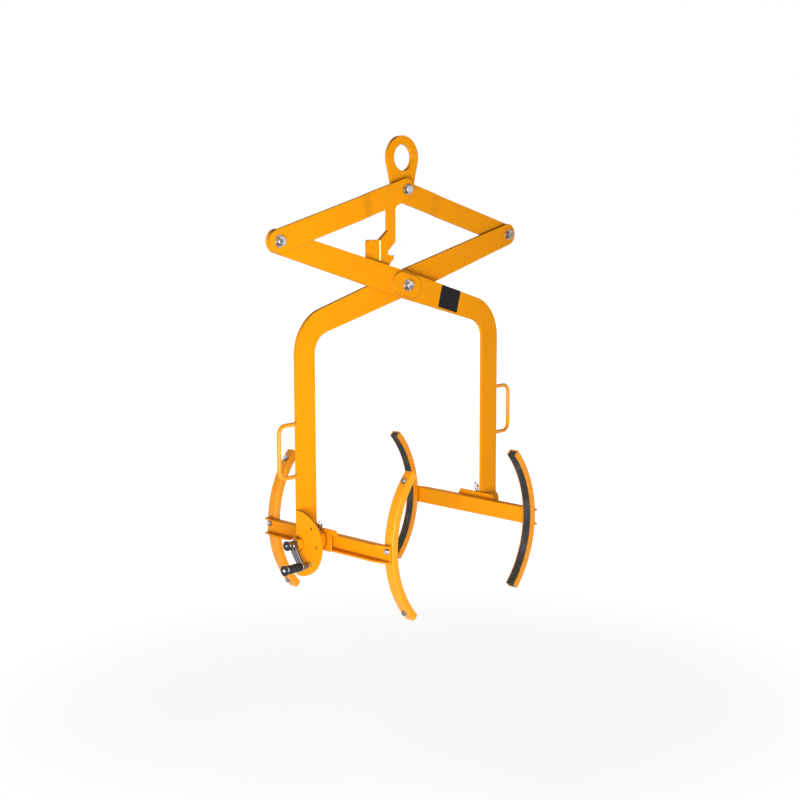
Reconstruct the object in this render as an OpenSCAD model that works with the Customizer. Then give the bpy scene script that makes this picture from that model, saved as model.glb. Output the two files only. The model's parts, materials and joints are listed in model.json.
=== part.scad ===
// Scissor drum lifter with tilting cradles.
// The origin is the centre of the lifting eye's hole. +Z is up, X runs along
// the trunnions and Y along a drum that lies in the cradles, front at -Y.

/* [Lifting eye] */
// Diameter of the hole for the crane hook
eye_hole_d = 76; // [50:1:90]
// Outer diameter of the eye
eye_d = 126; // [110:1:150]
// Thickness of the eye plate
eye_t = 12; // [8:1:16]
// Drop from the eye's centre to the top pivot
eye_drop = 92; // [84:1:120]
// Width of the neck and of the boss round the top pivot
neck_w = 80; // [60:1:100]

/* [Catch hook] */
// Width of the hook's stem
stem_w = 30; // [20:1:36]
// Drop from the top pivot to the caught sleeve's centre
seat_drop = 175; // [165:1:190]
// Distance of that seat to the left of the top pivot
seat_side = 42; // [38:1:48]
// Diameter of the sleeve that the hook catches
sleeve_d = 24; // [22:0.5:26]
// Width of the hand tab
tab_w = 50; // [30:1:70]
// Height of the hand tab
tab_h = 62; // [40:1:70]

/* [Linkage] */
// Distance between the pivots of a link, and of an arm's upper half
link_len = 513; // [480:1:560]
// Slope of the links and arms at rest, in degrees
link_angle = 15.7; // [15:0.1:18]
// Width of a link
link_w = 65; // [50:1:75]
// Thickness of a link
link_t = 8; // [6:0.5:12]
// How far a link is set inwards at its top end
link_set = 5; // [0:0.5:8]
// Distance from the top pivot to the start of that set
set_start = 150; // [120:1:200]
// Length of the set's slope
set_run = 35; // [20:1:60]
// Diameter of the pivot bolts
bolt_d = 16; // [14:1:22]
// Running clearance of a pivot, on the radius
pivot_gap = 0.05; // [0.02:0.01:0.1]
// Side clearance between pieces that turn past each other
side_gap = 0.4; // [0.3:0.1:1]

/* [Arms] */
// Thickness of an arm
arm_t = 10; // [8:0.5:14]
// Clear space between the two arms
arm_gap = 16; // [13:0.5:24]
// Width of an arm round its upper pivot
arm_end_w = 66; // [50:1:72]
// Width of an arm at the centre pivot
arm_mid_w = 80; // [70:1:95]
// Width of a leg
leg_w = 70; // [60:1:80]
// Radius of the bend between arm and leg, on the centre line
bend_r = 96; // [70:1:120]
// Drop from the eye's centre to the trunnion axis
trunnion_drop = 1074; // [980:1:1200]
// Length of the doubler plates at the centre pivot
doubler_len = 118; // [90:1:140]
// Width of the doubler plates
doubler_w = 66; // [50:1:70]
// Thickness of the doubler plates
doubler_t = 6; // [4:0.5:8]

/* [Handles] */
// Diameter of the handle rod
handle_rod_d = 12; // [10:0.5:16]
// Overall length of a handle
handle_len = 160; // [120:1:190]
// How far a handle stands out from the leg
handle_reach = 68; // [55:1:80]
// Height of the left handle's middle above the trunnion axis
left_handle_height = 262; // [220:1:330]
// Height of the right handle's middle above the trunnion axis
right_handle_height = 290; // [220:1:330]

/* [Trunnions] */
// Diameter of the trunnion shafts
shaft_d = 30; // [24:1:34]
// Wall of the bronze bushes
bush_wall = 4; // [3:0.5:5]
// Length of a bush
bush_len = 28; // [20:1:32]
// Outer diameter of the bearing tubes
tube_d = 60; // [56:1:70]
// Thickness of the hub plate on a beam
hub_t = 6; // [5:0.5:12]
// Length of the hub plate's upper edge, along the beam
hub_len = 148; // [100:1:170]
// Length of the hub plate across the beam's mouth
hub_mid = 84; // [70:1:100]
// Height of the hub plate
hub_h = 64; // [58:1:70]
// Thickness of the thrust washers
thrust_t = 1.6; // [1:0.1:3]

/* [Index and crank] */
// Radius of the half-round index plate
index_r = 93; // [85:1:110]
// Thickness of the index plate
index_t = 6; // [4:0.5:8]
// Radius of the circle of index holes
index_hole_r = 72; // [55:1:76]
// Angle between two index holes
index_step = 45; // [45:45:90]
// Crank angle at rest, below the front
crank_rest = 45; // [45:45:90]
// Clearance between the index plate and the crank's hub
crank_gap = 18; // [16:0.5:24]
// Length of the crank's hub, along the shaft
crank_hub_len = 25; // [20:1:30]
// Diameter of the crank's hub
crank_hub_d = 28; // [26:1:29]
// Thickness of the crank
crank_t = 6; // [5:0.5:8]
// Width of the crank
crank_w = 24; // [22:1:26]
// How far the crank leans outwards, from the hub to the plunger
crank_lean = 10; // [6:0.5:12]
// Diameter of the plunger pin
pin_d = 9; // [8:0.5:14]
// Travel of the plunger
pin_travel = 10; // [8:0.5:14]
// Diameter of the plunger's grip
grip_d = 25; // [22:1:30]
// Length of the plunger's grip
grip_len = 46; // [40:1:60]
// Diameter of the knob that slides the plunger
knob_d = 30; // [26:1:36]
// Thickness of that knob
knob_t = 5; // [4:0.5:8]
// Diameter of the hub cap
cap_d = 28; // [26:1:32]
// Thickness of the hub cap
cap_t = 4; // [3:0.5:6]

/* [Cradles] */
// Radius of the drum that the pads fit
drum_r = 287.5; // [270:0.5:300]
// Angle that each pad covers
pad_span = 86; // [60:1:100]
// Distance of a pad's middle from the trunnion axis, along the drum
pad_y = 246; // [200:1:280]
// Width of a pad's steel bar
bar_w = 34; // [30:1:50]
// Depth of the bar, along the drum's radius
bar_depth = 20; // [16:1:28]
// Wall of the bar
bar_wall = 5; // [4:0.5:6]
// How far the rubber stands proud of the bar
rubber_proud = 2.5; // [1.5:0.5:5]
// Angle from a pad's end to its end bolt
bolt_inset = 6; // [4:0.5:10]
// Diameter of the pad bolts
pad_bolt_d = 8; // [6:1:10]
// Height of a beam
beam_h = 49; // [40:1:56]
// Drop of a beam's middle below the trunnion axis
beam_drop = 7.5; // [0:0.5:10]
// Depth of a beam, from the bars to its flanges' edges
beam_depth = 24; // [18:1:30]
// Wall of a beam
beam_wall = 5; // [4:0.5:6]
// How far a beam runs on past the middle of a bar
beam_over = 12; // [8:1:16]
// Length of the taper at each end of a beam
beam_taper = 44; // [30:1:60]

/* [Hidden] */
$fn = 96;

paint = "#F5A019";
zinc = "#C9CCD1";
steel = "#8F949B";
bronze = "#B08D57";
black = "#1C1C1E";
rubber = "#2B2B2D";

// Pivots of the rhombus
half_w = link_len * cos(link_angle);
half_h = link_len * sin(link_angle);
top_z = -eye_drop;
side_z = top_z - half_h;
mid_z = side_z - half_h;
axis_z = -trunnion_drop;

// Layers along Y, from the middle outwards
arm_in = arm_gap / 2;
arm_out = arm_in + arm_t;
link_in = arm_out + side_gap;
link_out = link_in + link_t;
top_in = link_in - link_set;
top_out = link_out - link_set;
doubler_out = arm_out + doubler_t;
leg_y = arm_in + arm_t / 2;

// Cradle and trunnion stack along X, from the drum outwards
bar_in_r = drum_r + rubber_proud;
bar_out_r = bar_in_r + bar_depth;
web_x = bar_out_r + beam_depth;
hub_x = web_x + hub_t;
tube_in = hub_x + thrust_t + side_gap;
tube_out = tube_in + leg_w;
leg_x = tube_in + leg_w / 2;
index_out = tube_out + index_t;
crank_in = index_out + crank_gap;
crank_out = crank_in + crank_hub_len;
cap_out = crank_out + cap_t;

// Beam: its lower and upper edge, and how deep its web is hollowed onto the bars
beam_low = -beam_drop - beam_h / 2;
beam_top = beam_low + beam_h;
web_seat = 1;
web_lift = beam_wall - web_seat;

// Bend of an arm, with the leg on the left
bend_turn = 90 - link_angle;
bend_run = bend_r * tan(bend_turn / 2);
bend_z = mid_z - leg_x * tan(link_angle) - bend_run;
bend_start = link_len + leg_x / cos(link_angle) - bend_run;

// Fasteners, after the common hexagon sizes
hex_across = 1.5 * bolt_d;
head_h = 0.625 * bolt_d;
nut_h = 0.8 * bolt_d;
washer_d = 1.85 * bolt_d;
washer_t = 3;
thread_end = 4;

// Hook outline, from the seat
seat = [-seat_side, -seat_drop];
sleeve_r = sleeve_d / 2;
jaw_gap = 0.6;
jaw_drop = sleeve_r + jaw_gap;
jaw_depth = 58;
jaw_foot = 30;
jaw_back = 53;
jaw_rise = 32;
shoulder = 25;
stem_side = 9;
stem_right = seat[0] + stem_side;
stem_left = stem_right - stem_w;
hook_left = seat[0] - jaw_back;
hook_top = seat[1] + jaw_rise;
hook_low = seat[1] - jaw_depth;

// Crank and plunger along X: the crank's outer face at the hub and at the plunger
lever_set = 11;
lever_out = crank_in + lever_set;
grip_in = lever_out + crank_lean;
lever_boss = 8;
barrel_d = 18;
barrel_len = 15;
pin_tip = index_out + 1;
grip_out = grip_in + grip_len;
collar_d = 18;
knob_in = grip_out + pin_travel + side_gap;
knob_out = knob_in + knob_t;
index_hole_d = pin_d + 0.6;

// A round bar along X or along Y, between two places
module rod_x(x0, x1, d) {
  translate([x0, 0, 0]) rotate([0, 90, 0]) cylinder(h = x1 - x0, d = d);
}

module rod_y(y0, y1, d) {
  translate([0, y0, 0]) rotate([-90, 0, 0]) cylinder(h = y1 - y0, d = d);
}

// A flat plate between two places along Y, joined from outlines in X and Z
module plate_y(y0, y1) {
  translate([0, y1, 0]) rotate([90, 0, 0]) for (i = [0 : $children - 1])
    linear_extrude(y1 - y0) children(i);
}

// A flat plate between two places along X, joined from outlines in Y and Z
module plate_x(x0, x1) {
  translate([x0, 0, 0]) rotate([90, 0, 90]) for (i = [0 : $children - 1])
    linear_extrude(x1 - x0) children(i);
}

// Turns a left-hand piece half round the upright to make the right-hand one
module right_side() {
  rotate([0, 0, 180]) children();
}

// A bar of even width with round ends, along X from the origin
module oblong(len, w) {
  translate([0, -w / 2]) square([len, w]);
  circle(d = w);
  translate([len, 0]) circle(d = w);
}

// A chamfered hexagon along Z, standing on its seat
module hexagon(across, h) {
  corner = across / cos(30);
  intersection() {
    cylinder(h = h, d = corner, $fn = 6);
    cylinder(h = h, d1 = corner + 2 * h, d2 = across * 0.95);
  }
}

module washer(t, d, bore) {
  difference() {
    cylinder(h = t, d = d);
    translate([0, 0, -1]) cylinder(h = t + 2, d = bore);
  }
}

// Pivot bolt along Y: the head's seat at y0, the shank's chamfered end at y1
module pivot_bolt(y0, y1) {
  chamfer = 0.1 * bolt_d;
  color(zinc) {
    translate([0, y0, 0]) rotate([90, 0, 0]) hexagon(hex_across, head_h);
    rod_y(y0, y1 - chamfer, bolt_d);
    translate([0, y1 - chamfer, 0]) rotate([-90, 0, 0])
      cylinder(h = chamfer, d1 = bolt_d, d2 = bolt_d - 2 * chamfer);
  }
}

// Pivot nut along Y, with its seat at y0
module pivot_nut(y0) {
  color(zinc) translate([0, y0, 0]) rotate([-90, 0, 0]) difference() {
    hexagon(hex_across, nut_h);
    translate([0, 0, -1]) cylinder(h = nut_h + 2, d = bolt_d);
  }
}

// Flat washer along Y, with its front face at y0
module pivot_washer(y0) {
  color(zinc) translate([0, y0, 0]) rotate([-90, 0, 0]) washer(washer_t, washer_d, bolt_d);
}

// Places of the four pivots
module at_top() {
  translate([0, 0, top_z]) children();
}

module at_left() {
  translate([-half_w, 0, side_z]) children();
}

module at_right() {
  translate([half_w, 0, side_z]) children();
}

module at_centre() {
  translate([0, 0, mid_z]) children();
}

module at_axis() {
  translate([0, 0, axis_z]) children();
}

// Eye plate: ring, neck, pivot boss and the catch hook in one cut plate
module hook_outline() {
  polygon([
    [-neck_w / 2, 0],
    [stem_left, -neck_w / 2],
    [stem_left, hook_top + shoulder],
    [hook_left, hook_top],
    [hook_left, hook_low],
    seat + [-jaw_foot, -jaw_depth],
    seat + [-12, -jaw_drop - 24],
    seat + [2, -jaw_drop - 12],
    seat + [3, -jaw_drop - 1.4],
    seat + [-20, -jaw_drop - 0.4],
    seat + [-22, -3],
    seat + [stem_side, shoulder],
    [stem_right, -neck_w / 2 - 14],
    [stem_right + 14, -neck_w / 2],
    [0, 0]
  ]);
}

module eye_plate() {
  neck_sin = (eye_d - neck_w) / 2 / eye_drop;
  neck_side = [sqrt(1 - neck_sin * neck_sin), -neck_sin];
  neck_inset = 0.4;
  ring_edge = (eye_d / 2 - neck_inset) * neck_side;
  boss_edge = (neck_w / 2 - neck_inset) * neck_side + [0, top_z];
  color(paint) difference() {
    plate_y(-eye_t / 2, eye_t / 2) {
      circle(d = eye_d);
      polygon([
        ring_edge,
        boss_edge,
        [-boss_edge[0], boss_edge[1]],
        [-ring_edge[0], ring_edge[1]]
      ]);
      translate([0, top_z]) circle(d = neck_w);
      translate([0, top_z]) hook_outline();
    }
    rod_y(-eye_t, eye_t, eye_hole_d);
    at_top() rod_y(-eye_t, eye_t, bolt_d + 2 * pivot_gap);
  }
}

// Hand tab, bevelled along its weld to the hook and rounded at its free corners
module catch_tab() {
  groove = 2;
  corner_r = 8;
  half_t = eye_t / 2;
  tab_left = hook_left - tab_w;
  color(paint) at_top() intersection() {
    plate_y(-half_t, half_t) {
      translate([tab_left + corner_r, hook_top - tab_h]) square([tab_w - corner_r, tab_h]);
      translate([tab_left, hook_top - tab_h + corner_r]) square([tab_w, tab_h - 2 * corner_r]);
      for (z = [corner_r, tab_h - corner_r])
        translate([tab_left + corner_r, hook_top - z]) circle(r = corner_r);
    }
    translate([0, 0, hook_top - tab_h]) linear_extrude(tab_h) polygon([
      [tab_left, -half_t],
      [hook_left - groove, -half_t],
      [hook_left, -half_t + groove],
      [hook_left, half_t - groove],
      [hook_left - groove, half_t],
      [tab_left, half_t]
    ]);
  }
}

// Top pivot: bolt, nut, washers and the spacers either side of the eye plate
top_seat = top_out + side_gap;

module top_bolt() {
  at_top() pivot_bolt(-top_seat - washer_t, top_seat + washer_t + nut_h + thread_end);
}

module top_nut() {
  at_top() pivot_nut(top_seat + washer_t);
}

module top_washers() {
  at_top() {
    pivot_washer(-top_seat - washer_t);
    pivot_washer(top_seat);
  }
}

module top_spacers() {
  spacer_in = eye_t / 2 + side_gap;
  spacer_out = top_in - side_gap;
  color(zinc) at_top() for (turn = [0, 180]) rotate([0, 0, turn]) difference() {
    rod_y(spacer_in, spacer_out, washer_d);
    rod_y(spacer_in - 1, spacer_out + 1, bolt_d);
  }
}

// Links: flat bars with round ends, set inwards at the top, bored at both pivots
module rear_link() {
  set_end = set_start + set_run;
  far = link_len + link_w;
  color(paint) at_top() rotate([0, link_angle, 0]) difference() {
    intersection() {
      plate_y(top_in, link_out) oblong(link_len, link_w);
      translate([0, 0, -link_w]) linear_extrude(2 * link_w) polygon([
        [-link_w, top_in],
        [set_start, top_in],
        [set_end, link_in],
        [far, link_in],
        [far, link_out],
        [set_end, link_out],
        [set_start, top_out],
        [-link_w, top_out]
      ]);
    }
    rod_y(top_in - 1, top_out + 1, bolt_d + 2 * pivot_gap);
    translate([link_len, 0, 0]) rod_y(link_in - 1, link_out + 1, bolt_d);
  }
}

module front_link() {
  right_side() rear_link();
}

module left_bolt() {
  at_left() pivot_bolt(-link_out - washer_t, -arm_in + side_gap + washer_t + nut_h + thread_end);
}

module left_nut() {
  at_left() pivot_nut(-arm_in + side_gap + washer_t);
}

module left_washers() {
  at_left() {
    pivot_washer(-link_out - washer_t);
    pivot_washer(-arm_in + side_gap);
  }
}

module right_bolt() {
  at_right() pivot_bolt(arm_in - side_gap - washer_t, link_out + washer_t + nut_h + thread_end);
}

module right_nut() {
  at_right() pivot_nut(link_out + washer_t);
}

module right_washers() {
  at_right() {
    pivot_washer(arm_in - side_gap - washer_t);
    pivot_washer(link_out);
  }
}

// Arms: tapered upper half through both pivots, round bend, straight leg
module arm_blank() {
  far = 2 * (bend_r + leg_w);
  lap = 4;
  inset = 0.2;
  end_half = arm_end_w / 2 - inset;
  bend_half = leg_w / 2 - inset;
  plate_y(arm_in, arm_out) {
    translate([half_w, side_z]) circle(d = arm_end_w);
    translate([half_w, side_z]) rotate(180 + link_angle) polygon([
      [0, end_half],
      [link_len, arm_mid_w / 2],
      [bend_start + lap, bend_half],
      [bend_start + lap, -bend_half],
      [link_len, -arm_mid_w / 2],
      [0, -end_half]
    ]);
    translate([-leg_x + bend_r, bend_z]) intersection() {
      difference() {
        circle(r = bend_r + leg_w / 2);
        circle(r = bend_r - leg_w / 2);
      }
      polygon([
        [0, 0],
        far * [cos(90 + link_angle), sin(90 + link_angle)],
        far * [cos(135), sin(135)],
        [-far, 0]
      ]);
    }
    translate([-leg_x - leg_w / 2, axis_z]) square([leg_w, bend_z - axis_z]);
  }
}

// The arm with its leg on the left; centre_bore is the hole at the centre pivot
module arm(centre_bore) {
  color(paint) difference() {
    arm_blank();
    at_right() rod_y(arm_in - 1, arm_out + 1, bolt_d + 2 * pivot_gap);
    at_centre() rod_y(arm_in - 1, arm_out + 1, centre_bore);
    at_axis() rod_x(-tube_out - 1, -tube_in + 1, tube_d);
  }
}

module rear_arm() {
  arm(bolt_d + 2 * side_gap);
}

module front_arm() {
  right_side() arm(bolt_d);
}

// Doublers lie along their arm, on its outer face
module doubler(bore) {
  run = doubler_len - doubler_w;
  color(paint) at_centre() difference() {
    plate_y(arm_out, doubler_out) rotate(link_angle) translate([-run / 2, 0]) oblong(run, doubler_w);
    rod_y(arm_out - 1, doubler_out + 1, bore);
  }
}

module rear_doubler() {
  doubler(bolt_d + 2 * side_gap);
}

module front_doubler() {
  right_side() doubler(bolt_d);
}

module centre_bolt() {
  at_centre() pivot_bolt(-doubler_out - washer_t, doubler_out + side_gap + washer_t + nut_h + thread_end);
}

module centre_nut() {
  at_centre() pivot_nut(doubler_out + side_gap + washer_t);
}

module centre_washers() {
  at_centre() {
    pivot_washer(-doubler_out - washer_t);
    pivot_washer(doubler_out + side_gap);
  }
}

module centre_sleeve() {
  color(zinc) at_centre() difference() {
    rod_y(-arm_in, arm_in - side_gap, sleeve_d);
    rod_y(-arm_in - 1, arm_in + 1, bolt_d);
  }
}

// D-handle of bent rod, welded to the leg's outer edge
module handle(height) {
  turn_r = 2 * handle_rod_d;
  rail_x = -tube_out - handle_reach + handle_rod_d / 2;
  half = (handle_len - handle_rod_d) / 2;
  color(paint) translate([0, leg_y, axis_z + height]) {
    translate([rail_x, 0, turn_r - half])
      cylinder(h = 2 * (half - turn_r), d = handle_rod_d);
    for (end = [-1, 1]) {
      translate([0, 0, end * half]) rod_x(rail_x + turn_r, -tube_out, handle_rod_d);
      translate([rail_x + turn_r, 0, end * (half - turn_r)]) rotate([90, 0, 0])
        rotate([0, 0, end > 0 ? 90 : 180]) rotate_extrude(angle = 90)
          translate([turn_r, 0]) circle(d = handle_rod_d);
    }
  }
}

module left_handle() {
  handle(left_handle_height);
}

module right_handle() {
  right_side() handle(right_handle_height);
}

// Bearing tube along the trunnion axis, with a bush pressed in at each end
bush_d = shaft_d + 2 * bush_wall;
nipple_tilt = 20;
nipple_x = -tube_in - 12;
nipple_d = 8;

module at_nipple() {
  at_axis() translate([nipple_x, 0, 0]) rotate([nipple_tilt, 0, 0]) children();
}

module left_tube() {
  color(paint) difference() {
    at_axis() rod_x(-tube_out, -tube_in, tube_d);
    at_axis() rod_x(-tube_out - 1, -tube_in + 1, bush_d);
    at_nipple() cylinder(h = tube_d, d = nipple_d);
  }
}

module right_tube() {
  right_side() left_tube();
}

module left_bushes() {
  color(bronze) at_axis() for (x = [-tube_out, -tube_in - bush_len]) difference() {
    rod_x(x, x + bush_len, bush_d);
    rod_x(x - 1, x + bush_len + 1, shaft_d + 2 * pivot_gap);
  }
}

module right_bushes() {
  right_side() left_bushes();
}

// Grease nipple on an extension, screwed into the tube
module left_nipple() {
  stem_r = tube_d / 2 + 1;
  stem_h = 11;
  hex_h = 11;
  hex_r = stem_r + stem_h;
  neck_r = hex_r + hex_h;
  neck_h = 5;
  ball_d = 8;
  color(zinc) at_nipple() {
    translate([0, 0, bush_d / 2]) cylinder(h = stem_r - bush_d / 2, d = nipple_d);
    translate([0, 0, stem_r]) cylinder(h = stem_h, d = 1.4 * nipple_d);
    translate([0, 0, hex_r]) hexagon(2 * nipple_d, hex_h);
    translate([0, 0, neck_r]) cylinder(h = neck_h, d1 = 1.25 * nipple_d, d2 = 0.75 * nipple_d);
    translate([0, 0, neck_r + neck_h]) sphere(d = ball_d);
  }
}

module right_nipple() {
  right_side() left_nipple();
}

// Half-round index plate on the tube's outer end, lapping the leg's edge, with a boss round the shaft
module index_plate() {
  index_angle = 45;
  leg_lap = 3;
  boss_d = shaft_d + 8;
  boss_out = crank_in - 2;
  color(paint) at_axis() difference() {
    union() {
      plate_x(-index_out, -tube_out) intersection() {
        circle(r = index_r);
        translate([-index_r, -index_r]) square([index_r + arm_in + leg_lap, 2 * index_r]);
      }
      rod_x(-boss_out, -index_out, boss_d);
    }
    rod_x(-boss_out - 1, -tube_out + 1, shaft_d + 2 * side_gap);
    for (angle = [-index_angle : index_step : index_angle]) rotate([-angle, 0, 0])
      translate([0, -index_hole_r, 0]) rod_x(-index_out - 1, -tube_out + 1, index_hole_d);
  }
}

// Trunnion shafts, drilled at the free end; the left one is turned down to fit the crank
end_bolt_d = 10;
end_bolt_depth = 20;
spigot_d = 16;
cap_screw_d = 6;

module left_shaft() {
  color(steel) at_axis() difference() {
    union() {
      rod_x(-crank_in, -hub_x, shaft_d);
      rod_x(-crank_out, -crank_in, spigot_d);
    }
    rod_x(-crank_out - 1, -crank_out + end_bolt_depth, cap_screw_d);
  }
}

module right_shaft() {
  x_out = tube_out + side_gap;
  color(steel) right_side() at_axis() difference() {
    rod_x(-x_out, -hub_x, shaft_d);
    rod_x(-x_out - 1, -x_out + end_bolt_depth, end_bolt_d);
  }
}

// Hub plate across the beam's mouth, with an upper edge that lies along the beam's top
module left_hub() {
  ear_low = beam_top;
  ear_high = hub_h / 2;
  slope = 8;
  color(paint) at_axis() plate_x(-hub_x, -web_x) {
    translate([-hub_mid / 2, -hub_h / 2]) square([hub_mid, hub_h]);
    polygon([
      [-hub_len / 2, ear_low],
      [hub_len / 2, ear_low],
      [hub_len / 2 - slope, ear_high],
      [slope - hub_len / 2, ear_high]
    ]);
  }
}

module right_hub() {
  right_side() left_hub();
}

module left_thrust_washer() {
  color(bronze) at_axis() translate([-hub_x - thrust_t, 0, 0]) rotate([0, 90, 0])
    washer(thrust_t, tube_d - 6, shaft_d);
}

module right_thrust_washer() {
  right_side() left_thrust_washer();
}

// Channel beam: the web lies on the bars, hollowed to fit them, the flanges stand outwards
module left_beam() {
  web_in = bar_out_r - web_seat;
  beam_half = pad_y + beam_over;
  full_half = beam_half - beam_taper;
  toe_x = bar_out_r + 0.6 * beam_depth;
  flange_in = web_in + beam_wall / 2;
  seat_gap = 0.05;
  color(paint) difference() {
    at_axis() {
      plate_y(-beam_half, beam_half) difference() {
        translate([-web_in - beam_wall, beam_low]) square([beam_wall, beam_h]);
        circle(r = bar_out_r + seat_gap, $fn = 8 * $fn);
      }
      for (z = [beam_low, beam_top - beam_wall]) translate([0, 0, z]) linear_extrude(beam_wall)
        polygon([
          [-flange_in, -beam_half],
          [-toe_x, -beam_half],
          [-web_x, -full_half],
          [-web_x, full_half],
          [-toe_x, beam_half],
          [-flange_in, beam_half]
        ]);
    }
    bolt_holes(-pad_y);
    bolt_holes(pad_y);
  }
}

module right_beam() {
  right_side() left_beam();
}

// Pads: a curved channel bar with a rubber liner, bolted through at three places
bolt_angle = pad_span / 2 - bolt_inset;
pad_bolt_depth = bar_wall + 8;
bar_edge_r = 4;

module pad_arc(y) {
  at_axis() translate([0, y, 0]) rotate([90, 0, 0]) rotate([0, 0, 180 - pad_span / 2])
    rotate_extrude(angle = pad_span) children();
}

// Places a radial piece at the pad bolts of one pad, standing on a circle about the axis
module at_pad_bolts(y, angles, seat_r) {
  for (angle = angles) at_axis() translate([0, y, 0]) rotate([0, angle, 0])
    translate([-seat_r, 0, 0]) rotate([0, -90, 0]) children();
}

module bolt_holes(y) {
  at_pad_bolts(y, [-bolt_angle, 0, bolt_angle], bar_out_r - pad_bolt_depth)
    cylinder(h = pad_bolt_depth + beam_wall, d = pad_bolt_d);
}

module bar(y) {
  color(paint) difference() {
    pad_arc(y) difference() {
      union() {
        translate([bar_in_r, -bar_w / 2]) square([bar_depth - bar_edge_r, bar_w]);
        translate([bar_in_r, bar_edge_r - bar_w / 2]) square([bar_depth, bar_w - 2 * bar_edge_r]);
        for (side = [-1, 1]) translate([bar_out_r - bar_edge_r, side * (bar_w / 2 - bar_edge_r)])
          circle(r = bar_edge_r);
      }
      translate([bar_in_r - 1, -bar_w / 2 + bar_wall])
        square([bar_depth - bar_wall + 1, bar_w - 2 * bar_wall]);
    }
    bolt_holes(y);
  }
}

module liner(y) {
  color(rubber) difference() {
    pad_arc(y) translate([drum_r, -bar_w / 2 + bar_wall])
      square([bar_out_r - bar_wall - drum_r, bar_w - 2 * bar_wall]);
    bolt_holes(y);
  }
}

module left_front_bar() {
  bar(-pad_y);
}

module left_rear_bar() {
  bar(pad_y);
}

module left_front_liner() {
  liner(-pad_y);
}

module left_rear_liner() {
  liner(pad_y);
}

module right_front_bar() {
  right_side() bar(pad_y);
}

module right_rear_bar() {
  right_side() bar(-pad_y);
}

module right_front_liner() {
  right_side() liner(pad_y);
}

module right_rear_liner() {
  right_side() liner(-pad_y);
}

// Pad bolt standing on its seat, with its shank below
module pad_bolt(shank_len) {
  pad_washer_t = 1.6;
  translate([0, 0, -shank_len]) cylinder(h = shank_len, d = pad_bolt_d);
  cylinder(h = pad_washer_t, d = 2 * pad_bolt_d);
  translate([0, 0, pad_washer_t]) hexagon(1.625 * pad_bolt_d, 0.65 * pad_bolt_d);
}

// The end bolts sit on the bars, the middle ones on the beam's web
module left_pad_bolts() {
  color(zinc) for (y = [-pad_y, pad_y]) {
    at_pad_bolts(y, [-bolt_angle, bolt_angle], bar_out_r) pad_bolt(pad_bolt_depth);
    at_pad_bolts(y, [0], bar_out_r + web_lift) pad_bolt(pad_bolt_depth + web_lift);
  }
}

module right_pad_bolts() {
  right_side() left_pad_bolts();
}

// Crank on the left shaft's end: a flat lever that leans outwards, between a hub and a boss
module at_crank() {
  at_axis() rotate([crank_rest, 0, 0]) children();
}

module at_plunger() {
  at_crank() translate([0, -index_hole_r, 0]) children();
}

module crank_arm() {
  color(zinc) difference() {
    union() {
      at_crank() rod_x(-crank_out, -crank_in, crank_hub_d);
      at_crank() translate([0, 0, -crank_w / 2]) linear_extrude(crank_w) polygon([
        [-lever_out, 0],
        [crank_t - lever_out, 0],
        [crank_t - grip_in, -index_hole_r],
        [-grip_in, -index_hole_r]
      ]);
      at_plunger() rod_x(-grip_in, lever_boss - grip_in, crank_w);
    }
    at_crank() rod_x(-crank_out - 1, -crank_in + 1, spigot_d);
    at_plunger() rod_x(-grip_in - 1, lever_boss - grip_in + 1, pin_d + 2 * pivot_gap);
  }
}

module crank_cap() {
  rim = 1.5;
  color(black) at_axis() difference() {
    union() {
      rod_x(-cap_out + rim, -crank_out, cap_d);
      translate([-cap_out, 0, 0]) rotate([0, 90, 0]) cylinder(h = rim, d1 = cap_d - 2 * rim, d2 = cap_d);
    }
    rod_x(-cap_out - 1, -crank_out + 1, cap_screw_d);
  }
}

// Screw through the cap, with a small domed head
module crank_bolt() {
  dome_d = 1.6 * cap_screw_d;
  dome_h = 2;
  color(zinc) at_axis() {
    rod_x(-cap_out, -crank_out + end_bolt_depth, cap_screw_d);
    translate([-cap_out - dome_h, 0, 0]) rotate([0, 90, 0])
      cylinder(h = dome_h, d1 = dome_d - 2 * dome_h, d2 = dome_d);
  }
}

// Plunger: a barrel inside the crank, a grip outside it, and the pin with its knob that slides in both
module plunger_barrel() {
  barrel_out = grip_in - lever_boss;
  color(zinc) at_plunger() difference() {
    rod_x(-barrel_out, barrel_len - barrel_out, barrel_d);
    rod_x(-barrel_out - 1, barrel_len - barrel_out + 1, pin_d + 2 * pivot_gap);
  }
}

module plunger_grip() {
  edge = 2;
  color(black) at_plunger() difference() {
    union() {
      rod_x(edge - grip_out, -grip_in, grip_d);
      translate([-grip_out, 0, 0]) rotate([0, 90, 0]) cylinder(h = edge, d1 = grip_d - edge, d2 = grip_d);
    }
    rod_x(-grip_out - 1, -grip_in + 1, pin_d + 2 * pivot_gap);
    rod_x(-grip_out - 1, pin_travel + side_gap - grip_out, collar_d + 2 * side_gap);
  }
}

module plunger_pin() {
  tip = 2;
  color(steel) at_plunger() {
    rod_x(-knob_out, -pin_tip - tip, pin_d);
    translate([-pin_tip - tip, 0, 0]) rotate([0, 90, 0])
      cylinder(h = tip, d1 = pin_d, d2 = pin_d - 2 * tip);
  }
}

module plunger_knob() {
  edge = 1.2;
  color(black) at_plunger() difference() {
    translate([-knob_out, 0, 0]) rotate([0, 90, 0]) {
      cylinder(h = edge, d1 = knob_d - 2 * edge, d2 = knob_d);
      translate([0, 0, edge]) cylinder(h = knob_t - 2 * edge, d = knob_d);
      translate([0, 0, knob_t - edge]) cylinder(h = edge, d1 = knob_d, d2 = knob_d - 2 * edge);
    }
    rod_x(-knob_out - 1, -knob_in + 1, pin_d);
  }
}

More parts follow.
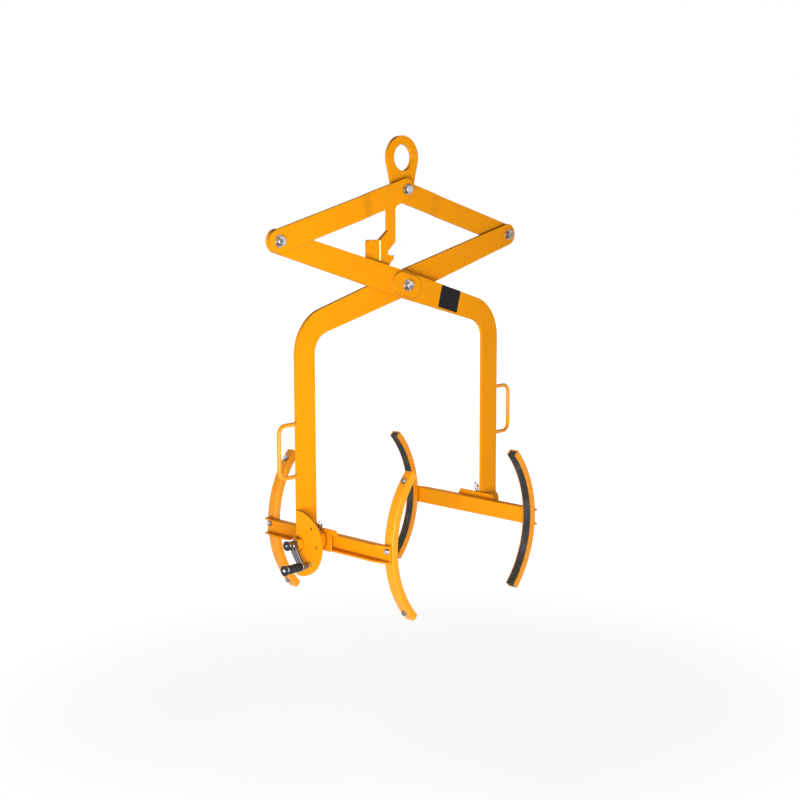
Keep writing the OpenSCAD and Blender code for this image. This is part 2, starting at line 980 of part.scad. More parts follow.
// The inner collar lies behind the knob, the outer one is the pin's riveted end
module plunger_collars() {
  rivet_h = 1.5;
  color(zinc) at_plunger() {
    difference() {
      rod_x(-knob_in, pin_travel - knob_in, collar_d);
      rod_x(-knob_in - 1, pin_travel - knob_in + 1, pin_d);
    }
    translate([-knob_out - rivet_h, 0, 0]) rotate([0, 90, 0])
      cylinder(h = rivet_h, d1 = pin_d - rivet_h, d2 = pin_d + rivet_h);
  }
}

// Right trunnion: a plain washer and bolt hold the shaft in its tube
end_washer_t = 5;

module right_end_washer() {
  color(zinc) right_side() at_axis() translate([-tube_out - side_gap - end_washer_t, 0, 0])
    rotate([0, 90, 0]) washer(end_washer_t, tube_d - 8, end_bolt_d);
}

module right_end_bolt() {
  x_shaft = tube_out + side_gap;
  x_seat = x_shaft + end_washer_t;
  color(zinc) right_side() at_axis() {
    rod_x(-x_seat, -x_shaft + end_bolt_depth, end_bolt_d);
    translate([-x_seat, 0, 0]) rotate([0, -90, 0]) hexagon(1.6 * end_bolt_d, 0.6 * end_bolt_d);
  }
}

eye_plate();
catch_tab();
top_bolt();
top_nut();
top_washers();
top_spacers();
front_link();
left_bolt();
left_nut();
left_washers();
rear_link();
right_bolt();
right_nut();
right_washers();
front_arm();
front_doubler();
centre_bolt();
centre_nut();
centre_washers();
centre_sleeve();
right_handle();
right_tube();
right_bushes();
right_nipple();
rear_arm();
rear_doubler();
left_handle();
left_tube();
left_bushes();
left_nipple();
index_plate();
left_shaft();
left_hub();
left_thrust_washer();
left_beam();
left_front_bar();
left_rear_bar();
left_front_liner();
left_rear_liner();
left_pad_bolts();
crank_arm();
crank_cap();
crank_bolt();
plunger_barrel();
plunger_grip();
plunger_pin();
plunger_knob();
plunger_collars();
right_shaft();
right_hub();
right_thrust_washer();
right_beam();
right_front_bar();
right_rear_bar();
right_front_liner();
right_rear_liner();
right_pad_bolts();
right_end_washer();
right_end_bolt();
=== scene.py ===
import json
import math

import bmesh
import bpy
from mathutils import Matrix, Vector


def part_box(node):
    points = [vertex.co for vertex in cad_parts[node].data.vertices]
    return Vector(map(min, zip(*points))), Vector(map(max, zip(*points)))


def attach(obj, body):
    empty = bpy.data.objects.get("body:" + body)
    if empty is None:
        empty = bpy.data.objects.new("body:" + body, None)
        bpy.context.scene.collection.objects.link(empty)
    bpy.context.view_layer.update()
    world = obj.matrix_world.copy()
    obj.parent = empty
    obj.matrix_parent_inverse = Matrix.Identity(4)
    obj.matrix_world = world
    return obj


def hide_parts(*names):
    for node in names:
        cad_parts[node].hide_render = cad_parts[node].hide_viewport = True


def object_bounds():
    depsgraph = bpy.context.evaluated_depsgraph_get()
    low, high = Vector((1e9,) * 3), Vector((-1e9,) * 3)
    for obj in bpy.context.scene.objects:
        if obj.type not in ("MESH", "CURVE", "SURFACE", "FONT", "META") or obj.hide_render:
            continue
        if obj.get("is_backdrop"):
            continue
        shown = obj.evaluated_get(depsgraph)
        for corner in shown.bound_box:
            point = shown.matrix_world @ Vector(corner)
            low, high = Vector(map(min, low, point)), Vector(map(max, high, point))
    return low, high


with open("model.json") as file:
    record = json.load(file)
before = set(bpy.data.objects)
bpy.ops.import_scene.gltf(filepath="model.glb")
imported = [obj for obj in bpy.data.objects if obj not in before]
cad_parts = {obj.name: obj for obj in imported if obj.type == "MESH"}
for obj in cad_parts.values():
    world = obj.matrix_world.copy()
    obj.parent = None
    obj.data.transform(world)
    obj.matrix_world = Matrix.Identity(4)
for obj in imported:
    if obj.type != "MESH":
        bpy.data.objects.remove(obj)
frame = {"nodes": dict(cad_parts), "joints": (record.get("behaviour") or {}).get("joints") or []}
cad_low, cad_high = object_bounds()

# Lifting eye: one flame-cut steel plate, from the lifting ring down to the catch hook.
# Its cut edges are ground round, a hand tab is butt-welded to the hook, and the whole is powder
# coated orange-yellow. The coat is worn through in the jaw, where the caught sleeve rubs.
mm = 0.001


class Field:
    """A node's output that varies over a surface. Arithmetic on it adds Math nodes."""

    def __init__(self, tree, socket=None):
        self.tree, self.socket = tree, socket

    def node(self, kind, settings=(), sockets=(), output=0):
        """Adds a node of this kind, with its settings first and then what goes into its sockets."""
        made = self.tree.nodes.new("ShaderNode" + kind)
        for name, value in dict(settings).items():
            setattr(made, name, value)
        for name, value in dict(sockets).items():
            if isinstance(value, Field):
                self.tree.links.new(value.socket, made.inputs[name])
            else:
                made.inputs[name].default_value = value
        return Field(self.tree, made.outputs[output])

    def math(self, operation, *terms):
        return self.node("Math", {"operation": operation}, dict(enumerate(terms)))

    def __add__(self, other):
        return self.math("ADD", self, other)

    def __sub__(self, other):
        return self.math("SUBTRACT", self, other)

    def __rsub__(self, other):
        return self.math("SUBTRACT", other, self)

    def __mul__(self, other):
        return self.math("MULTIPLY", self, other)

    __radd__, __rmul__ = __add__, __mul__

    def ramp(self, low, high):
        """0 below low and 1 above high, with a smooth rise between; low may be the larger one."""
        limits = {"From Min": low, "From Max": high}
        return self.node("MapRange", {"interpolation_type": "SMOOTHSTEP"}, {"Value": self, **limits})

    def noise(self, place, scale, detail=2.0):
        return self.node("TexNoise", {}, {"Vector": place, "Scale": scale, "Detail": detail})

    def mix(self, first, second):
        """A colour: first where this field is 0, second where it is 1."""
        made = self.tree.nodes.new("ShaderNodeMix")
        made.data_type = "RGBA"
        self.tree.links.new(self.socket, made.inputs["Factor"])
        for name, value in (("A", first), ("B", second)):
            socket = [s for s in made.inputs if s.name == name and s.type == "RGBA"][0]
            if isinstance(value, Field):
                self.tree.links.new(value.socket, socket)
            else:
                socket.default_value = (*value, 1.0)
        return Field(self.tree, [s for s in made.outputs if s.type == "RGBA"][0])


def new_material(name):
    """A material with a single Principled shader, a Field to build on and the place on the surface."""
    material = bpy.data.materials.new(name)
    material.use_nodes = True
    field = Field(material.node_tree)
    place = field.node("TexCoord", {}, {}, "Object")
    return material, field, place, material.node_tree.nodes["Principled BSDF"]


def feed(shader, **sockets):
    """Sets or links the shader's sockets, named with _ for a space."""
    for name, value in sockets.items():
        socket = shader.inputs[name.replace("_", " ")]
        if isinstance(value, Field):
            value.tree.links.new(value.socket, socket)
        else:
            socket.default_value = value


def bump(field, height, depth, rounding):
    """A normal with a relief of this depth, on edges that look rounded to the given radius."""
    soft = field.node("Bevel", {"samples": 6}, {"Radius": rounding})
    return field.node("Bump", {}, {"Height": height, "Distance": depth, "Normal": soft})


def along_axis(vector, axis):
    """One component of a vector, by its letter."""
    return vector.node("SeparateXYZ", {}, {0: vector}, axis)


def slope_of(field):
    """1 on what faces up, 0 on what stands upright and -1 on what faces down."""
    return along_axis(field.node("TexCoord", {}, {}, "Normal"), "Z")


def near_edge(field, radius):
    """0 on flat faces, and more the nearer to an edge, from this distance on."""
    rounded = field.node("Bevel", {"samples": 6}, {"Radius": radius})
    flat = field.node("NewGeometry", {}, {}, "Normal")
    return 1.0 - field.node("VectorMath", {"operation": "DOT_PRODUCT"}, {0: rounded, 1: flat}, "Value")


def distance_from(place, **line):
    """Distance of a point on the surface from a line, given by its two other coordinates."""
    x, y = (along_axis(place, axis) - value for axis, value in line.items())
    return x.math("SQRT", x * x + y * y)


def paint_material(name, rubbed_at, rubbed_r, gloss=0.08, roughness=0.30, top_shade=0.80):
    """Orange-yellow powder coat: orange-peel relief, uneven gloss, chips along its edges and light dirt.
    Painted shade: a dark line along its edges, darker corners, and darker brown on what faces up
    and on what faces down. Round the line at rubbed_at, out to rubbed_r, it is scuffed down to the steel."""
    material, field, place, shader = new_material(name)
    cloud = field.noise(place, 5.0)
    peel = field.noise(place, 420.0)
    grime = field.noise(place, 38.0, 5.0)
    edge_r = 1.6 * mm
    edge = near_edge(field, edge_r)
    chip = edge.ramp(0.10, 0.22) * grime.ramp(0.60, 0.68)
    near = distance_from(place, **rubbed_at)
    scuff = near.ramp(rubbed_r, 0.86 * rubbed_r) * grime.ramp(0.42, 0.55)
    bare = chip.math("MAXIMUM", chip, scuff)
    tone = cloud.mix((0.94, 0.328, 0.002), (0.98, 0.355, 0.003))
    # Painted shade: a dark line along every edge of the coat.
    shaded_edge_line = (edge.ramp(0.01, 0.12) * 0.65).mix(tone, (0.48, 0.17, 0.003))
    slope = slope_of(field)
    upward, downward = slope.ramp(0.55, 0.95), slope.ramp(-0.55, -0.95)
    # Painted shade: darker in corners and crevices, wherever ambient occlusion finds a surface close by.
    corner = field.node("AmbientOcclusion", {"samples": 6}, {"Distance": 9 * mm}, "AO").ramp(0.94, 0.45)
    # Light random dirt from the grime noise, plus painted shade: darker on what faces down and in
    # corners.
    dirt_and_shade = grime.ramp(0.55, 0.80) * 0.06 + downward * 0.45 + corner * 0.75
    soiled_and_shaded = dirt_and_shade.mix(shaded_edge_line, (0.28, 0.105, 0.013))
    # Painted shade: darker brown on what faces up, by the amount given for it.
    top_shaded = (upward * top_shade).mix(soiled_and_shaded, (0.195, 0.072, 0.02))
    feed(
        shader,
        Base_Color=bare.mix(top_shaded, (0.39, 0.35, 0.31)),
        Roughness=roughness + 0.14 * cloud + 0.10 * grime + 0.45 * upward,
        Metallic=bare * 0.8,
        Normal=bump(field, peel + 0.6 * (1.0 - bare), 0.03 * mm, edge_r),
        Specular_IOR_Level=gloss,
    )
    return material


def highlight_weld_material(name):
    """A weld bead coloured pale yellow-white metal, a painted highlight along the seam, finely scratched
    along it.
    """
    material, field, place, shader = new_material(name)
    stretched = field.node("Mapping", {}, {"Vector": place, "Scale": (900.0, 900.0, 40.0)})
    lines = field.noise(stretched, 1.0)
    feed(
        shader,
        Base_Color=lines.mix((0.92, 0.76, 0.42), (1.0, 0.90, 0.58)),
        Roughness=0.30 + 0.20 * lines,
        Metallic=0.6,
        Normal=bump(field, lines, 0.03 * mm, 0.5 * mm),
    )
    return material


def dress(material, *names):
    """Gives CAD nodes this material."""
    for name in names:
        mesh = frame["nodes"][name].data
        mesh.materials.clear()
        mesh.materials.append(material)


def add_piece(name, mesh, body, material):
    """Turns a bmesh into a piece that rides a body and takes the finish of a material slot."""
    data = bpy.data.meshes.new(name)
    mesh.to_mesh(data)
    mesh.free()
    data.materials.append(material)
    piece = bpy.data.objects.new(name, data)
    bpy.context.scene.collection.objects.link(piece)
    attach(piece, body)
    return piece


def tube_along(rings, closed):
    """A bmesh skin over rings of points, capped at its ends unless it closes on itself."""
    mesh = bmesh.new()
    loops = [[mesh.verts.new(point) for point in ring] for ring in rings]
    pairs = list(zip(loops, loops[1:])) + ([(loops[-1], loops[0])] if closed else [])
    for one, two in pairs:
        for i in range(len(one)):
            j = (i + 1) % len(one)
            mesh.faces.new((one[i], one[j], two[j], two[i]))
    if not closed:
        mesh.faces.new(loops[0])
        mesh.faces.new(loops[-1])
    for face in mesh.faces:
        face.smooth = True
    bmesh.ops.recalc_face_normals(mesh, faces=mesh.faces)
    return mesh


def weld(name, body, path, normal, radius, material, closed=False):
    """A weld bead along a path in a plane with this normal, rippled by the pools that it set in."""
    pool = 1.2 * radius
    sides, steps_per_pool = 10, 4
    trough, crest, wander, wander_pace = 0.86, 0.14, 0.04, 1.7
    points = [Vector(p) for p in path] + ([Vector(path[0])] if closed else [])
    spots = []
    for start, end in zip(points, points[1:]):
        count = max(1, round((end - start).length / pool * steps_per_pool))
        spots += [(start.lerp(end, i / count), (end - start).normalized()) for i in range(count)]
    if not closed:
        spots.append((points[-1], (points[-1] - points[-2]).normalized()))
    rings = []
    for index, (spot, along) in enumerate(spots):
        phase = (index % steps_per_pool) / steps_per_pool
        ripple = crest * math.sin(math.pi * phase) + wander * math.sin(wander_pace * index)
        size = radius * (trough + ripple)
        across = along.cross(normal)
        turns = [2 * math.pi * i / sides for i in range(sides)]
        rings.append([spot + size * (math.cos(t) * across + math.sin(t) * normal) for t in turns])
    add_piece(name, tube_along(rings, closed), body, material)


x_axis, y_axis, z_axis = (Vector(axis) for axis in ((1, 0, 0), (0, 1, 0), (0, 0, 1)))
joints = {joint["name"]: Vector(joint["pos_m"]) for joint in frame["joints"] if "pos_m" in joint}
top, left, right = (joints[name] for name in ("eye_sway", "front_arm_fold", "rear_arm_fold"))
centre = left + right - top
plate_low, plate_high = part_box("eye_plate")
tab_low, tab_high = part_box("catch_tab")
seat_aside, seat_drop, seat_r = 42 * mm, 175 * mm, 17 * mm
eye_paint = paint_material("eye_paint", {"X": top.x - seat_aside, "Z": top.z - seat_drop}, seat_r)
dress(eye_paint, "eye_plate", "catch_tab")
# The tab's weld beads are coloured as a bright line, a painted highlight.
highlight_weld = highlight_weld_material("painted_highlight_weld")
tab_bead, tab_bead_sunk = 2.8 * mm, 1.4 * mm
seam_x, seam_low, seam_high = tab_high.x - 1 * mm, tab_low.z + 1 * mm, tab_high.z - 2 * mm
for face, y in (("front", plate_low.y + tab_bead_sunk), ("rear", plate_high.y - tab_bead_sunk)):
    seam = [(seam_x, y, z) for z in (seam_low, seam_high)]
    weld("tab_weld_" + face, "eye", seam, y_axis, tab_bead, highlight_weld)

# Pivots: hexagon bolts with nuts and flat washers, bright zinc plated, one at each corner of the
# rhombus. A pair of turned spacers centres the eye plate on the top bolt, and a sleeve on the
# centre bolt keeps the arms apart.


def zinc_material(name):
    """Bright zinc plate: a faintly blue metal with a fine spangle and greyer patches, coloured near black
    where it faces down, which is painted shade."""
    material, field, place, shader = new_material(name)
    spangle = field.noise(place, 900.0)
    patch = field.noise(place, 60.0, 4.0)
    plate = patch.ramp(0.44, 0.60).mix((0.58, 0.60, 0.66), (0.20, 0.20, 0.23))
    slope = slope_of(field)
    feed(
        shader,
        # Near black on what faces down: painted shade.
        Base_Color=(slope.ramp(-0.05, -0.70) * 0.9).mix(plate, (0.05, 0.05, 0.06)),
        Roughness=0.12 + 0.22 * patch,
        Metallic=1.0,
        Normal=bump(field, spangle, 0.06 * mm, 0.8 * mm),
    )
    return material


zinc = zinc_material("zinc")
for pivot in ("top", "left", "right", "centre"):
    dress(zinc, pivot + "_bolt", pivot + "_nut", pivot + "_washers")
dress(zinc, "top_spacers", "centre_sleeve")

# Links and arms: sawn flat bar and plate, painted before assembly. The washers at the sides and in
# the centre have worn the coat. The doublers are welded on all round, and a bare black plate is
# stuck to the front arm, where such a lifter carries its rating.
under_washer = 19 * mm
pivot_paint = {
    side: paint_material(side + "_pivot_paint", {"X": place.x, "Z": place.z}, under_washer)
    for side, place in (("left", left), ("right", right), ("centre", centre))
}
dress(pivot_paint["left"], "front_link", "front_arm")
dress(pivot_paint["right"], "rear_link", "rear_arm")
dress(pivot_paint["centre"], "front_doubler", "rear_doubler")
at_centre = {"X": centre.x, "Z": centre.z}
glossy_paint = paint_material(
    "glossy_paint", at_centre, under_washer, gloss=0.28, roughness=0.10, top_shade=0.35
)
arm_along = (centre - left).normalized()
arm_across = y_axis.cross(arm_along)
doubler_half_len, doubler_r = 59 * mm, 33 * mm
plate_bead = 2.6 * mm


def oblong(middle, along, across, half_len, radius):
    """Points round an outline with straight sides and round ends."""
    points, steps = [], 12
    for end, start in ((1, -90), (-1, 90)):
        for step in range(steps + 1):
            turn = math.radians(start + 180 * step / steps)
            reach = end * (half_len - radius) + radius * math.cos(turn)
            points.append(middle + along * reach + across * radius * math.sin(turn))
    return points


for face, end in (("front", 1), ("rear", -1)):
    low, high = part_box(face + "_doubler")
    seam_y = high.y if end > 0 else low.y
    middle = Vector((centre.x, seam_y, centre.z))
    along = Vector((arm_along.x, 0, end * arm_along.z))
    ring = oblong(middle, along, y_axis.cross(along), doubler_half_len, doubler_r)
    weld(face + "_doubler_weld", face + "_arm", ring, y_axis, plate_bead, glossy_paint, closed=True)


def film_material(name):
    """Black anodised foil: satin, with a fine grain and a few hairline scratches."""
    material, field, place, shader = new_material(name)
    grain = field.noise(place, 1500.0)
    swirl = {"Vector": place, "Scale": 90.0, "Detail": 6.0, "Distortion": 3.0}
    streak = field.node("TexNoise", {}, swirl) - 0.5
    scratch = streak.math("ABSOLUTE", streak).ramp(0.006, 0.0)
    feed(
        shader,
        Base_Color=(scratch * 0.3).mix((0.003, 0.003, 0.004), (0.08, 0.08, 0.08)),
        Roughness=0.38 + 0.15 * grain,
        Normal=bump(field, grain, 0.02 * mm, 0.3 * mm),
        Specular_IOR_Level=0.15,
    )
    return material


def rounded_plate(corners, thickness, corner_r):
    """A bmesh sheet on four corners in order, with rounded corners, thick along its normal."""
    mesh = bmesh.new()
    face = mesh.faces.new([mesh.verts.new(corner) for corner in corners])
    bmesh.ops.bevel(mesh, geom=face.verts, offset=corner_r, segments=6, affect="VERTICES", profile=0.5)
    mesh.normal_update()
    sheet = mesh.faces[:]
    normal = sheet[0].normal.copy()
    grown = bmesh.ops.extrude_face_region(mesh, geom=sheet)
    moved = [part for part in grown["geom"] if isinstance(part, bmesh.types.BMVert)]
    bmesh.ops.translate(mesh, verts=moved, vec=normal * thickness)
    bmesh.ops.recalc_face_normals(mesh, faces=mesh.faces)
    return mesh


label_w, label_h, label_t = 86 * mm, 68 * mm, 0.8 * mm
label_from_pivot, label_rise = 195 * mm, 3.0 * mm
arm_face_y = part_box("front_arm")[0].y
label_middle = Vector((centre.x, arm_face_y, centre.z + label_rise)) + arm_along * label_from_pivot
square = ((-1, -1), (1, -1), (1, 1), (-1, 1))
label_corners = [
    label_middle + arm_along * (x * label_w / 2) + arm_across * (z * label_h / 2) for x, z in square
]
film = film_material("black_film")
label = rounded_plate(label_corners, label_t, corner_r=4 * mm)
label_low = min(vertex.co.y for vertex in label.verts)
bmesh.ops.translate(label, verts=label.verts, vec=(0, arm_face_y - label_t - label_low, 0))
add_piece("bare_plate", label, "front_arm", film)

# Handles: a D of bent round bar, fillet-welded to the outer edge of each leg. The coat lies smoother
# on drawn bar than on plate, so it shines more.
dress(glossy_paint, "left_handle", "right_handle")


def ring_points(middle, first, second, radius, count=24):
    """Points round a circle that lies in the plane of two directions."""
    turns = [2 * math.pi * i / count for i in range(count)]
    return [middle + radius * (math.cos(t) * first + math.sin(t) * second) for t in turns]


rod_bead = 2.2 * mm
for side, arm in (("left", "rear_arm"), ("right", "front_arm")):
    low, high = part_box(side + "_handle")
    rod_r = (high.y - low.y) / 2
    root_x = high.x if side == "left" else low.x
    for end, z in (("lower", low.z + rod_r), ("upper", high.z - rod_r)):
        foot = Vector((root_x, (low.y + high.y) / 2, z))
        seam = ring_points(foot, y_axis, z_axis, rod_r)
        weld(f"{side}_handle_weld_{end}", arm, seam, x_axis, rod_bead, glossy_paint, closed=True)

# Trunnions: a thick tube is welded through the foot of each leg, with a bronze bush pressed in at
# each end, a ground steel shaft running in them and a plated grease nipple on top. The right shaft
# is held by a plated washer and bolt on its end.


def bronze_material(name):
    """Sintered bronze: a dull metal, speckled by its pores and dark with oil in patches."""
    material, field, place, shader = new_material(name)
    pores = field.noise(place, 1100.0, 3.0)
    oil = field.noise(place, 45.0, 3.0)
    feed(
        shader,
        Base_Color=oil.ramp(0.40, 0.65).mix((0.56, 0.36, 0.14), (0.22, 0.13, 0.05)),
        Roughness=0.30 + 0.25 * pores,
        Metallic=0.9,
        Normal=bump(field, pores, 0.05 * mm, 0.4 * mm),
    )
    return material


def steel_material(name):
    """Ground shaft steel: bright, with fine rings left by the wheel and a film of grease."""
    material, field, place, shader = new_material(name)
    wave = {"Vector": place, "Scale": 260.0, "Distortion": 1.5}
    rings = field.node("TexWave", {"bands_direction": "X"}, wave)
    grease = field.noise(place, 55.0, 3.0)
    feed(
        shader,
        Base_Color=grease.ramp(0.45, 0.70).mix((0.66, 0.66, 0.67), (0.30, 0.28, 0.25)),
        Roughness=0.16 + 0.18 * grease,
        Metallic=1.0,
        Normal=bump(field, rings, 0.03 * mm, 0.6 * mm),
    )
    return material


bronze, ground_steel = bronze_material("bronze"), steel_material("ground_steel")
trunnion = {"left": joints["left_tilt"], "right": joints["right_tilt"]}
under_thrust_washer, tube_bead, seam_inset = 28 * mm, 2.8 * mm, 3 * mm
foot_paint = {}
for side, axis in trunnion.items():
    turns_about = {"Y": axis.y, "Z": axis.z}
    foot_paint[side] = paint_material(
        side + "_foot_paint", turns_about, under_thrust_washer, gloss=0.12, top_shade=0.40
    )
for side, arm in (("left", "rear_arm"), ("right", "front_arm")):
    dress(foot_paint[side], side + "_tube")
    dress(bronze, side + "_bushes", side + "_thrust_washer")
    dress(ground_steel, side + "_shaft")
    dress(zinc, side + "_nipple")
    tube_low, tube_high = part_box(side + "_tube")
    arm_low, arm_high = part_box(arm)
    tube_r = (tube_high.z - tube_low.z) / 2
    for face, y in (("front", arm_low.y), ("rear", arm_high.y)):
        z = trunnion[side].z + math.sqrt(tube_r**2 - y**2)
        seam = [(x, y, z) for x in (tube_low.x + seam_inset, tube_high.x - seam_inset)]
        weld(f"{side}_tube_weld_{face}", arm, seam, z_axis, tube_bead, foot_paint[side])
dress(zinc, "right_end_washer", "right_end_bolt")

# Index plate: a half-round steel plate, welded to the left tube and to the leg's edge and painted
# with the leg. The plunger locks the cradle in its row of drilled holes.
dress(pivot_paint["right"], "index_plate")
index_face_x, leg_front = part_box("index_plate")[1].x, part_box("rear_arm")[0].y
seam_rises = (36 * mm, 88 * mm)
seam = [(index_face_x, leg_front, trunnion["left"].z + rise) for rise in seam_rises]
weld("index_plate_weld", "rear_arm", seam, x_axis, plate_bead, pivot_paint["right"])

# Cradles: a folded channel with its web on two curved bars, which are rolled from channel and lined
# with strips of rubber. Hexagon bolts go through the bars; the hub plate is welded across the
# channel's mouth.


def rubber_material(name):
    """Moulded black rubber: matt, pitted, with a grey bloom where it has aged."""
    material, field, place, shader = new_material(name)
    pits = field.noise(place, 700.0, 3.0)
    bloom = field.noise(place, 22.0, 4.0)
    feed(
        shader,
        Base_Color=bloom.ramp(0.40, 0.75).mix((0.016, 0.016, 0.016), (0.070, 0.068, 0.064)),
        Roughness=0.68 + 0.22 * bloom,
        Normal=bump(field, pits, 0.12 * mm, 0.8 * mm),
    )
    return material


rubber = rubber_material("rubber")
beam_paint = paint_material("beam_paint", at_centre, under_washer, gloss=0.12, top_shade=0.15)
hub_mid, flange_bead, flange_inset = 42 * mm, 2.4 * mm, 1 * mm
for side in trunnion:
    body = side + "_cradle"
    dress(beam_paint, side + "_hub", side + "_beam")
    dress(zinc, side + "_pad_bolts")
    for end in ("front", "rear"):
        dress(glossy_paint, f"{side}_{end}_bar")
        dress(rubber, f"{side}_{end}_liner")
    beam_low, beam_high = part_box(side + "_beam")
    hub_low, hub_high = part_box(side + "_hub")
    mouth_x = hub_high.x if side == "left" else hub_low.x
    for end, y in (("front", -hub_mid), ("rear", hub_mid)):
        seam = [(mouth_x, y, z) for z in (beam_low.z + flange_inset, beam_high.z - flange_inset)]
        weld(f"{side}_hub_weld_{end}", body, seam, x_axis, plate_bead, beam_paint)
    seam = [(mouth_x, y, beam_high.z) for y in (hub_low.y + seam_inset, hub_high.y - seam_inset)]
    weld(f"{side}_hub_weld_top", body, seam, x_axis, flange_bead, beam_paint)

# Crank and index plunger: a plated flat lever on the left shaft's end, held by a screw through a
# black moulded cap. The plunger slides in a turned barrel and a moulded grip that are screwed to
# the lever's boss, and a moulded knob riveted to its end pulls it.


def chrome_material(name):
    """Satin chrome plate: coloured dark on its flat faces, a painted dark reflection, and pale along its
    edges, a painted highlight.
    """
    material, field, place, shader = new_material(name)
    haze = field.noise(place, 70.0, 4.0)
    stretched = field.node("Mapping", {}, {"Vector": place, "Scale": (60.0, 900.0, 900.0)})
    lines = field.noise(stretched, 1.0)
    edge_r = 2.2 * mm
    edge = near_edge(field, edge_r)
    # Dark flat faces: a painted reflection of dark surroundings.
    plate = haze.mix((0.13, 0.12, 0.13), (0.22, 0.21, 0.23))
    feed(
        shader,
        # Pale along the edges: a painted highlight.
        Base_Color=edge.ramp(0.01, 0.12).mix(plate, (0.85, 0.84, 0.88)),
        Roughness=0.20 + 0.15 * haze,
        Metallic=1.0,
        Normal=bump(field, lines, 0.03 * mm, edge_r),
    )
    return material


def moulded_material(name):
    """Black moulded plastic: glossy, with a faint grain and scuffs that have turned grey."""
    material, field, place, shader = new_material(name)
    grain = field.noise(place, 1300.0)
    scuff = field.noise(place, 130.0, 6.0).ramp(0.62, 0.72)
    feed(
        shader,
        Base_Color=(scuff * 0.4).mix((0.006, 0.006, 0.007), (0.05, 0.05, 0.05)),
        Roughness=0.22 + 0.10 * grain + 0.30 * scuff,
        Normal=bump(field, grain, 0.03 * mm, 0.8 * mm),
        Specular_IOR_Level=0.35,
    )
    return material


def turned(profile, node):
    """A bmesh turned about the line along X through a node's middle: profile is pairs of the distance
    from the node's outer face and the radius there."""
    low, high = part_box(node)
    hub = Vector((low.x, (low.y + high.y) / 2, (low.z + high.z) / 2))
    rings = [ring_points(hub + x_axis * x, y_axis, z_axis, r, count=48) for x, r in profile]
    return tube_along(rings, closed=False)


def arc(x, r, radius, first, last, count=7):
    """Profile points on a quarter or other part of a circle, angles in degrees."""
    turns = [math.radians(first + (last - first) * i / (count - 1)) for i in range(count)]
    return [(x + radius * math.cos(t), r + radius * math.sin(t)) for t in turns]


def round_size(node):
    """Length along X and radius of a round node."""
    low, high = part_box(node)
    return high.x - low.x, (high.z - low.z) / 2


def moulding(node, body, profile):
    """A moulded piece turned to this profile, in a round node's place."""
    piece = add_piece(node + "_moulded", turned(profile, node), body, moulded)
    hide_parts(node)


chrome, moulded = chrome_material("satin_chrome"), moulded_material("moulded_black")
dress(chrome, "crank_arm", "plunger_barrel")
dress(zinc, "crank_bolt", "plunger_collars")
dress(ground_steel, "plunger_pin")

cap_t, cap_r = round_size("crank_cap")
cap_edge, cap_dish_r, cap_dish, dish_slope = 1.8 * mm, 6 * mm, 0.8 * mm, 1 * mm
cap_profile = [(cap_dish, cap_dish_r / 2), (cap_dish, cap_dish_r), (0, cap_dish_r + dish_slope)]
cap_profile += arc(cap_edge, cap_r - cap_edge, cap_edge, 180, 90) + [(cap_t, cap_r)]
moulding("crank_cap", "left_cradle", cap_profile)

grip_len, grip_r = round_size("plunger_grip")
collar_way, way_depth, way_lip = 9.4 * mm, 10.2 * mm, 0.4 * mm
grip_edge, grip_chamfer = 2 * mm, 1 * mm
grip_profile = [(way_depth, collar_way), (way_lip, collar_way)]
grip_profile += arc(grip_edge, grip_r - grip_edge, grip_edge, 180, 90)
groove_count, first_groove = 6, 0.6
groove_pitch, groove_r, groove_half = 6 * mm, 0.5 * mm, 1 * mm
for x in [grip_edge + groove_pitch * (i + first_groove) for i in range(groove_count)]:
    hollow = arc(x + groove_half, grip_r, groove_r, 180, 360, count=5)
    grip_profile += [(x, grip_r)] + hollow + [(x + 2 * groove_half, grip_r)]
grip_profile += [(grip_len - grip_chamfer, grip_r), (grip_len, grip_r - grip_chamfer)]
moulding("plunger_grip", "left_cradle", grip_profile)

knob_t, knob_r = round_size("plunger_knob")
knob_edge, knob_dish_r, knob_dish, rivet_way = 1.6 * mm, 8 * mm, 0.6 * mm, 5 * mm
knob_profile = [(knob_dish, rivet_way), (knob_dish, knob_dish_r), (0, knob_dish_r + dish_slope)]
knob_profile += arc(knob_edge, knob_r - knob_edge, knob_edge, 180, 90)
knob_profile += arc(knob_t - knob_edge, knob_r - knob_edge, knob_edge, 90, 0)
moulding("plunger_knob", "plunger", knob_profile)

# Studio: the lifter hangs over a pale floor in soft light from the left, as the photo shows it, cut
# out on white, and the camera stands where the photo's was.


def seen_rays(field):
    """1 for what the camera sees, straight or in a reflection or through glass, and 0 for other light."""
    ray_kinds = ("Is Camera Ray", "Is Glossy Ray", "Is Transmission Ray")
    camera_ray, glossy_ray, glass_ray = (field.node("LightPath", {}, {}, kind) for kind in ray_kinds)
    reflected = glossy_ray.math("MAXIMUM", glossy_ray, glass_ray)
    return camera_ray.math("MAXIMUM", camera_ray, reflected)


world = bpy.data.worlds.new("studio")
bpy.context.scene.world = world
world.use_nodes = True
background = world.node_tree.nodes["Background"]
background.inputs["Color"].default_value = (1.0, 1.0, 1.0, 1.0)
ambient = 0.185
seen = seen_rays(Field(world.node_tree))
world.node_tree.links.new((seen + (1.0 - seen) * ambient).socket, background.inputs["Strength"])

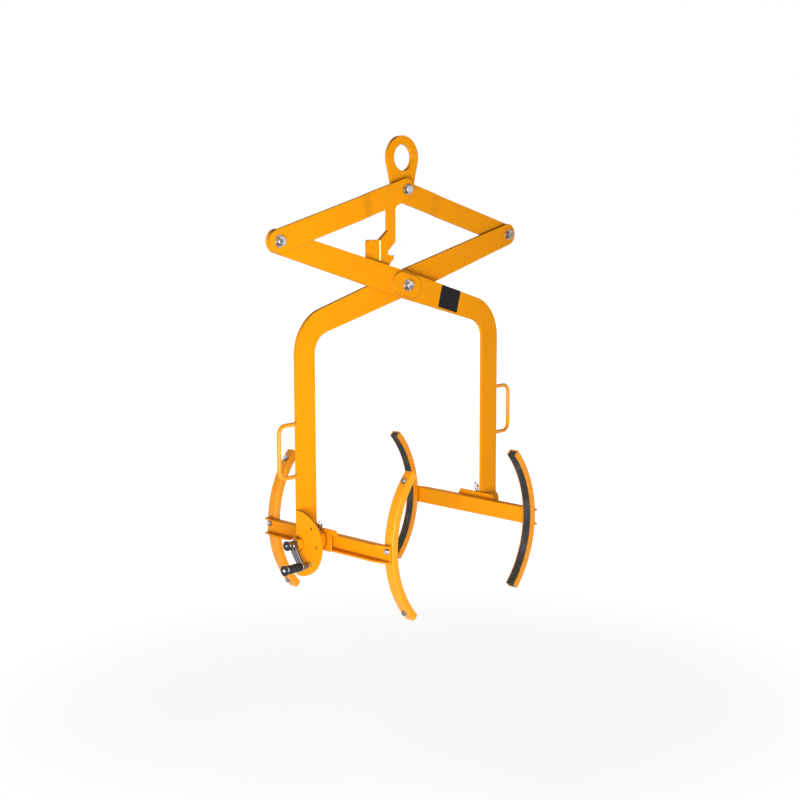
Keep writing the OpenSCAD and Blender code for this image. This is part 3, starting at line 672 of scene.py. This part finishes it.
hang_height, floor_half = 0.35, 30.0
floor_z = cad_low.z - hang_height
floor_mesh = bpy.data.meshes.new("floor")
floor_corners = [(x * floor_half, y * floor_half, floor_z) for x, y in square]
floor_mesh.from_pydata(floor_corners, [], [(0, 1, 2, 3)])
floor = bpy.data.objects.new("floor", floor_mesh)
bpy.context.scene.collection.objects.link(floor)
floor_material, floor_field, floor_place, floor_shader = new_material("pale_floor")
feed(floor_shader, Base_Color=(0.95, 0.95, 0.95, 1.0), Roughness=0.8, Specular_IOR_Level=0.1)
glow, white_near, white_far = 1.15, 0.6, 0.4
shadow_r, clear_r = 0.6, 2.4
white = floor_field.node("Emission", {}, {"Color": (1.0, 1.0, 1.0, 1.0), "Strength": glow})
plain = Field(floor_field.tree, floor_shader.outputs[0])
far = distance_from(floor_place, X=0.0, Y=0.0).ramp(shadow_r, clear_r)
whiteness = seen_rays(floor_field) * (white_near + white_far * far)
shown = floor_field.node("MixShader", {}, {0: whiteness, 1: plain, 2: white})
floor_output = floor_material.node_tree.nodes["Material Output"]
floor_material.node_tree.links.new(shown.socket, floor_output.inputs["Surface"])
floor_mesh.materials.append(floor_material)
floor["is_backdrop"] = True

aim = (cad_low + cad_high) / 2


def soft_box(name, place, size, power):
    """A square area light that faces the object's middle."""
    light = bpy.data.lights.new(name, "AREA")
    light.shape, light.size, light.energy = "SQUARE", size, power
    lamp = bpy.data.objects.new(name, light)
    bpy.context.scene.collection.objects.link(lamp)
    lamp.location = place
    lamp.rotation_euler = (aim - Vector(place)).to_track_quat("-Z", "Y").to_euler()


soft_box("key_light", place=(-2.35, -2.1, -0.9), size=1.6, power=105)
soft_box("back_light", place=(2.6, 3.6, 1.2), size=2.4, power=135)

yaw, pitch, roll = (math.radians(turn) for turn in (45.68, -8.2, -0.18))
look = Vector((math.sin(yaw) * math.cos(pitch), math.cos(yaw) * math.cos(pitch), math.sin(pitch)))
lens = bpy.data.cameras.new("camera")
lens.lens, lens.sensor_width = 61.2, 36.0
camera = bpy.data.objects.new("camera", lens)
bpy.context.scene.collection.objects.link(camera)
camera_place = (-2.8771, -2.7995, -0.1338)
camera.matrix_world = (
    Matrix.Translation(camera_place)
    @ look.to_track_quat("-Z", "Y").to_matrix().to_4x4()
    @ Matrix.Rotation(roll, 4, "Z")
)
bpy.context.scene.camera = camera
bpy.context.scene.view_settings.view_transform = "Standard"

low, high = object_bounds()
